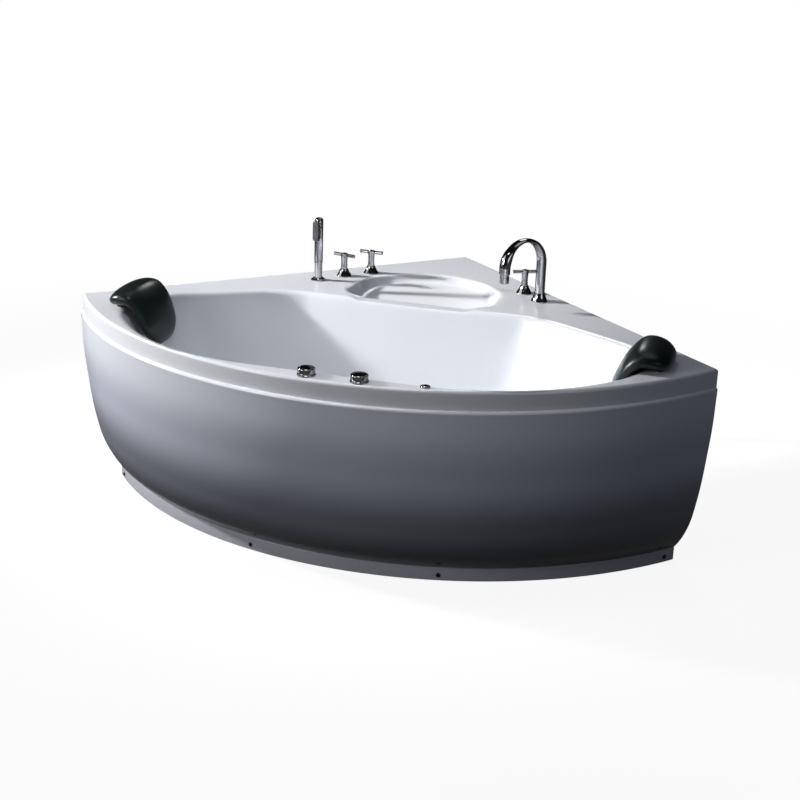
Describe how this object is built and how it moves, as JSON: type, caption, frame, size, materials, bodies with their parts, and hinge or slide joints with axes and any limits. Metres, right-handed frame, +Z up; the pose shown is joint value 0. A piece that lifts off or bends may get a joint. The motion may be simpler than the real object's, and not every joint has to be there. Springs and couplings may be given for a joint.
{
  "type": "corner bathtub",
  "caption": "Corner massage bath with a bowed front apron, moulded corner shelf, two head pillows, deck-mounted taps, gooseneck spout and hand shower, on a steel frame",
  "frame": {"origin": "on the floor, at the middle of the bath's width and depth", "axes": "+X from the left pillow to the right one as seen from the room, +Y towards the corner of the room, +Z up"},
  "size_m": [2.13, 1.6414, 0.909],
  "materials": {
    "acrylic": "polished white acrylic",
    "apron_acrylic": "satin white acrylic",
    "screw_steel": "black screw heads",
    "board": "plywood",
    "frame_steel": "galvanised grey",
    "foot_plastic": "moulded",
    "foot_steel": "zinc plated",
    "pillow": "glossy black-green skin over foam",
    "cup": "soft",
    "chrome": "polished",
    "spray_plate": "dark grey",
    "brass": "raw",
    "white_plastic": "moulded",
    "pipe": "white PVC",
    "pump_body": "black",
    "motor": "blue-grey enamel",
    "steel_pipe": "braided steel look"
  },
  "bodies": {
    "tub": {"air_button_collar": "chrome", "air_regulator_1_body": "chrome", "air_regulator_2_body": "chrome", "apron": "apron_acrylic", "base_board": "board", "base_strip": "apron_acrylic", "base_strip_screws": "screw_steel", "bath_shell": "acrylic", "cold_valve_base": "chrome", "cold_valve_body": "brass", "diverter_valve_base": "chrome", "diverter_valve_body": "brass", "hot_valve_base": "chrome", "hot_valve_body": "brass", "jet_pipe": "white_plastic", "mixer_pipes": "steel_pipe", "overflow_pipe": "white_plastic", "overflow_plate": "chrome", "pillow_left": "pillow", "pillow_left_cups": "cup", "pillow_right": "pillow", "pillow_right_cups": "cup", "pump_housing": "pump_body", "pump_motor": "motor", "shower_holder": "chrome", "spout_base": "chrome", "suction_body": "white_plastic", "suction_cover": "chrome", "suction_pipe": "pipe", "supply_tails": "steel_pipe", "support_frame": "frame_steel", "waste_flange": "chrome", "waste_trap": "white_plastic"},
    "hand_shower": {"hand_shower": "chrome", "hand_shower_face": "spray_plate"},
    "hot_handle": {"hot_handle": "chrome"},
    "cold_handle": {"cold_handle": "chrome"},
    "diverter_handle": {"diverter_handle": "chrome"},
    "spout": {"spout_neck": "chrome", "spout_aerator": "chrome"},
    "air_button": {"air_button_cap": "chrome"},
    "air_regulator_1": {"air_regulator_1_knob": "chrome"},
    "air_regulator_2": {"air_regulator_2_knob": "chrome"},
    "overflow_control": {"overflow_knob": "chrome"},
    "plug": {"waste_plug": "chrome"},
    "nozzle_1": {"jet_nozzle_1": "chrome"},
    "nozzle_2": {"jet_nozzle_2": "chrome"},
    "nozzle_3": {"jet_nozzle_3": "chrome"},
    "nozzle_4": {"jet_nozzle_4": "chrome"},
    "foot_1": {"levelling_foot_1": "foot_plastic"},
    "foot_2": {"levelling_foot_2": "foot_plastic"},
    "foot_3": {"levelling_foot_3": "foot_plastic"},
    "foot_4": {"levelling_foot_4": "foot_plastic"},
    "foot_5": {"levelling_foot_5": "foot_plastic"}
  },
  "joints": [
    {"name": "hot_turn", "type": "hinge", "parent": "tub", "child": "hot_handle", "pos_m": [-0.33, 0.348, 0.757], "axis": [0, 0, 1], "range_deg": [0, 90]},
    {"name": "cold_turn", "type": "hinge", "parent": "tub", "child": "cold_handle", "pos_m": [-0.255, 0.43, 0.757], "axis": [0, 0, 1], "range_deg": [-90, 0]},
    {"name": "diverter_turn", "type": "hinge", "parent": "tub", "child": "diverter_handle", "pos_m": [0.325, 0.382, 0.757], "axis": [0, 0, 1], "range_deg": [-90, 0]},
    {"name": "spout_swivel", "type": "hinge", "parent": "tub", "child": "spout", "pos_m": [0.397, 0.299, 0.78], "axis": [0, 0, 1], "range_deg": [-60, 60]},
    {"name": "hand_shower_lift", "type": "slide", "parent": "tub", "child": "hand_shower", "axis": [0, 0, 1], "range_m": [0, 0.3]},
    {"name": "air_button_press", "type": "slide", "parent": "tub", "child": "air_button", "axis": [0, 0, -1], "range_m": [0, 0.004], "stiffness_N_per_m": 300},
    {"name": "air_regulator_1_turn", "type": "hinge", "parent": "tub", "child": "air_regulator_1", "pos_m": [-0.054, -0.773, 0.68], "axis": [0, 0, 1], "range_deg": [0, 270]},
    {"name": "air_regulator_2_turn", "type": "hinge", "parent": "tub", "child": "air_regulator_2", "pos_m": [0.106, -0.772, 0.68], "axis": [0, 0, 1], "range_deg": [0, 270]},
    {"name": "overflow_turn", "type": "hinge", "parent": "tub", "child": "overflow_control", "pos_m": [0, -0.71322, 0.56], "axis": [0, 0.9874, 0.1585], "range_deg": [0, 90]},
    {"name": "plug_lift", "type": "slide", "parent": "tub", "child": "plug", "axis": [0, 0, 1], "range_m": [0, 0.009]},
    {"name": "nozzle_1_turn", "type": "hinge", "parent": "tub", "child": "nozzle_1", "pos_m": [-0.49166, -0.08519, 0.33], "axis": [0.4749, -0.7911, 0.3856], "range_deg": [0, 180]},
    {"name": "nozzle_2_turn", "type": "hinge", "parent": "tub", "child": "nozzle_2", "pos_m": [-0.1579, -0.00546, 0.33], "axis": [0, -0.9561, 0.293], "range_deg": [0, 180]},
    {"name": "nozzle_3_turn", "type": "hinge", "parent": "tub", "child": "nozzle_3", "pos_m": [0.1579, -0.00546, 0.33], "axis": [0, -0.9561, 0.293], "range_deg": [0, 180]},
    {"name": "nozzle_4_turn", "type": "hinge", "parent": "tub", "child": "nozzle_4", "pos_m": [0.49166, -0.08519, 0.33], "axis": [-0.4749, -0.7911, 0.3856], "range_deg": [0, 180]},
    {"name": "foot_1_turn", "type": "hinge", "parent": "tub", "child": "foot_1", "pos_m": [0, 0.76, 0.05], "axis": [0, 0, 1], "continuous": true},
    {"name": "foot_2_turn", "type": "hinge", "parent": "tub", "child": "foot_2", "pos_m": [-0.7, 0.06, 0.05], "axis": [0, 0, 1], "continuous": true},
    {"name": "foot_3_turn", "type": "hinge", "parent": "tub", "child": "foot_3", "pos_m": [0.7, 0.06, 0.05], "axis": [0, 0, 1], "continuous": true},
    {"name": "foot_4_turn", "type": "hinge", "parent": "tub", "child": "foot_4", "pos_m": [-0.4, -0.48, 0.05], "axis": [0, 0, 1], "continuous": true},
    {"name": "foot_5_turn", "type": "hinge", "parent": "tub", "child": "foot_5", "pos_m": [0.4, -0.48, 0.05], "axis": [0, 0, 1], "continuous": true}
  ],
  "couplings": [
    {"joint": "plug_lift", "follows": "overflow_turn", "m_per_rad": 0.00573}
  ]
}
